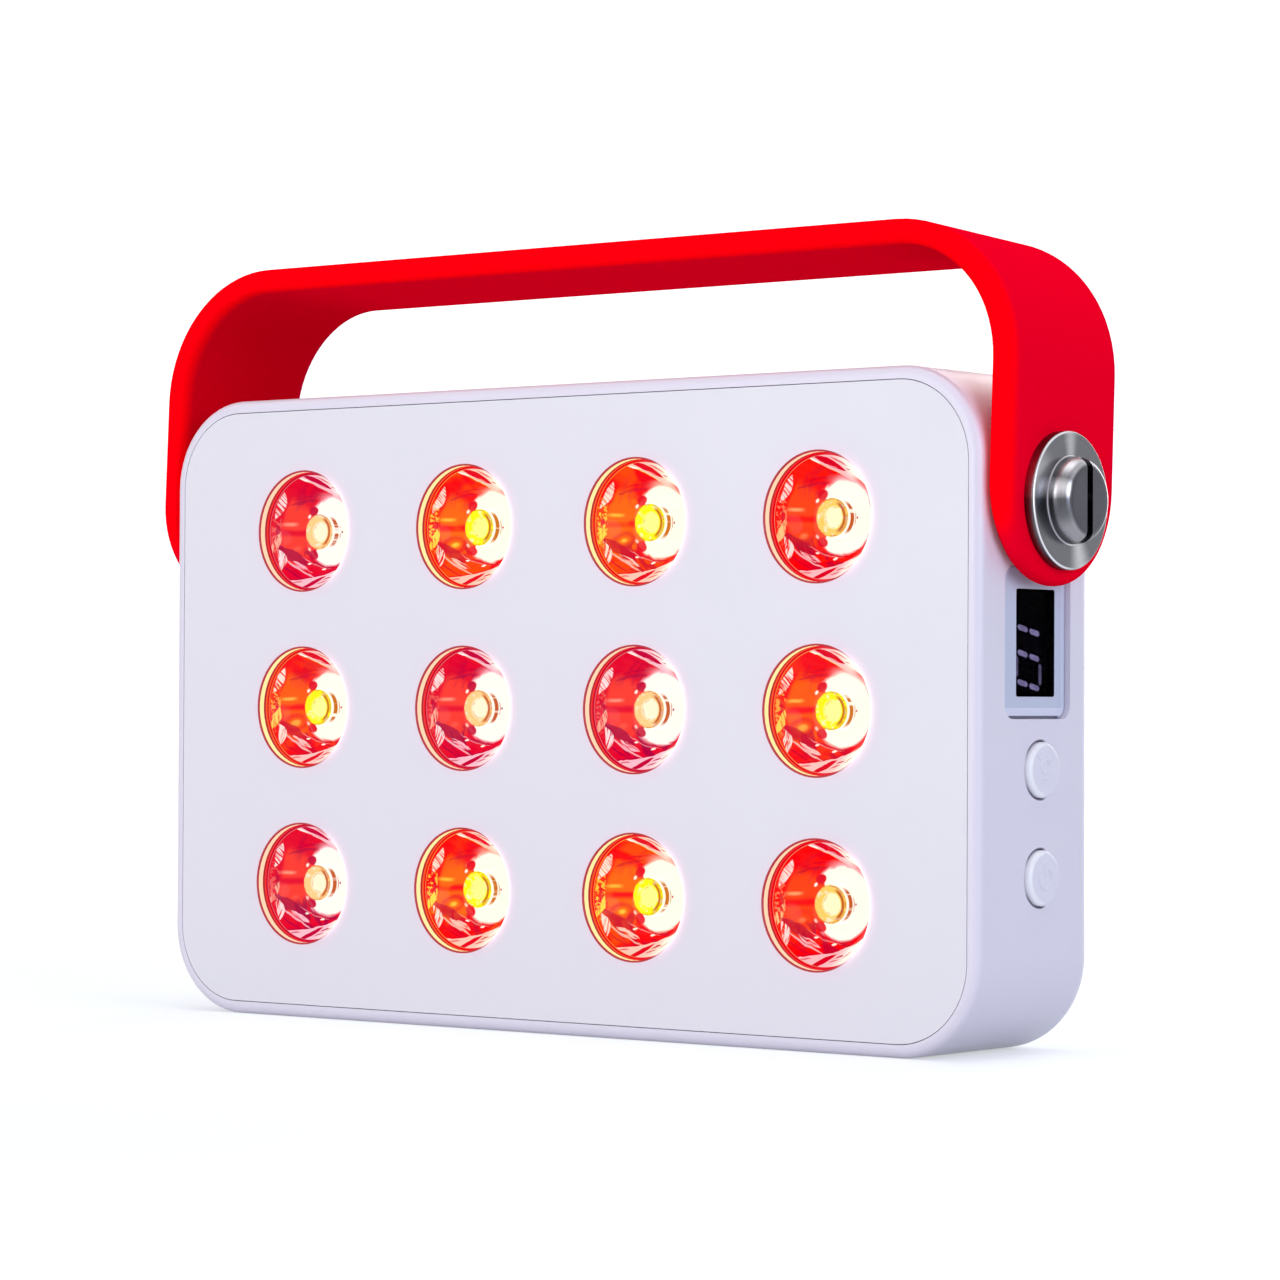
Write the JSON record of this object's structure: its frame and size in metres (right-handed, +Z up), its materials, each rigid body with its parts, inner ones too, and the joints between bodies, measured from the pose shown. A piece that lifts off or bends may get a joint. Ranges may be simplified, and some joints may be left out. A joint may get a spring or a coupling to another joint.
{
  "type": "darkroom safelight",
  "caption": "Flat portable safelight: white case with lit lenses in front, a side read-out and push buttons, and a red bail handle on steel pivot screws.",
  "frame": {"origin": "middle of the flat underside that the case stands on, at half its depth", "axes": "+X to the side with the read-out and buttons, -Y out of the lit front, +Z up"},
  "size_m": [0.212, 0.0379, 0.1459],
  "materials": {
    "case_white": "satin moulded",
    "panel_white": "satin moulded",
    "button_white": "satin moulded",
    "surround_grey": "satin",
    "window_dark": "smoked, polished",
    "module_black": "matt",
    "digit_bars": "diffusing",
    "lens_clear": "polished clear",
    "emitter_amber": "cast resin",
    "seal_rubber": "matt",
    "board_white": "white lacquer",
    "spreader_aluminium": "as rolled",
    "board_green": "solder mask",
    "cell_wrap": "film wrapped",
    "tray_black": "moulded",
    "lead_film": "film",
    "switch_black": "moulded",
    "plunger_beige": "moulded",
    "socket_steel": "plated",
    "grip_red": "silicone, satin",
    "core_steel": "rolled",
    "bush_polymer": "moulded",
    "pivot_steel": "turned",
    "insert_brass": "turned",
    "washer_polymer": "moulded",
    "screw_steel": "plated"
  },
  "bodies": {
    "case": {"battery_cell_left": "cell_wrap", "battery_cell_right": "cell_wrap", "battery_cover": "tray_black", "battery_lead": "lead_film", "battery_tray": "tray_black", "battery_tray_screws": "screw_steel", "case_screws": "screw_steel", "charge_socket": "socket_steel", "control_board": "board_green", "control_board_screws": "screw_steel", "display_bezel": "surround_grey", "display_digits": "digit_bars", "display_module": "module_black", "display_window": "window_dark", "emitter_1_1": "emitter_amber", "emitter_1_2": "emitter_amber", "emitter_1_3": "emitter_amber", "emitter_1_4": "emitter_amber", "emitter_2_1": "emitter_amber", "emitter_2_2": "emitter_amber", "emitter_2_3": "emitter_amber", "emitter_2_4": "emitter_amber", "emitter_3_1": "emitter_amber", "emitter_3_2": "emitter_amber", "emitter_3_3": "emitter_amber", "emitter_3_4": "emitter_amber", "friction_washers": "washer_polymer", "front_panel": "panel_white", "heat_spreader": "spreader_aluminium", "lamp_board": "board_white", "lamp_board_screws": "screw_steel", "lamp_lead": "lead_film", "lens_1_1": "lens_clear", "lens_1_2": "lens_clear", "lens_1_3": "lens_clear", "lens_1_4": "lens_clear", "lens_2_1": "lens_clear", "lens_2_2": "lens_clear", "lens_2_3": "lens_clear", "lens_2_4": "lens_clear", "lens_3_1": "lens_clear", "lens_3_2": "lens_clear", "lens_3_3": "lens_clear", "lens_3_4": "lens_clear", "mode_switch": "switch_black", "panel_gasket": "seal_rubber", "pivot_inserts": "insert_brass", "pivot_screw_left": "pivot_steel", "pivot_screw_right": "pivot_steel", "power_switch": "switch_black", "rear_housing": "case_white"},
    "handle": {"handle_grip": "grip_red", "handle_core": "core_steel", "handle_bush_left": "bush_polymer", "handle_bush_right": "bush_polymer"},
    "mode_key": {"mode_button": "button_white", "mode_plunger": "plunger_beige"},
    "power_key": {"power_button": "button_white", "power_plunger": "plunger_beige"}
  },
  "joints": [
    {"name": "handle_pivot", "type": "hinge", "parent": "case", "child": "handle", "pos_m": [0, 0, 0.0966], "axis": [1, 0, 0], "range_deg": [-118, 119]},
    {"name": "mode_press", "type": "slide", "parent": "case", "child": "mode_key", "axis": [-1, 0, 0], "range_m": [0, 0.0006], "stiffness_N_per_m": 2000, "springref_m": -0.0002},
    {"name": "power_press", "type": "slide", "parent": "case", "child": "power_key", "axis": [-1, 0, 0], "range_m": [0, 0.0006], "stiffness_N_per_m": 2000, "springref_m": -0.0002}
  ]
}
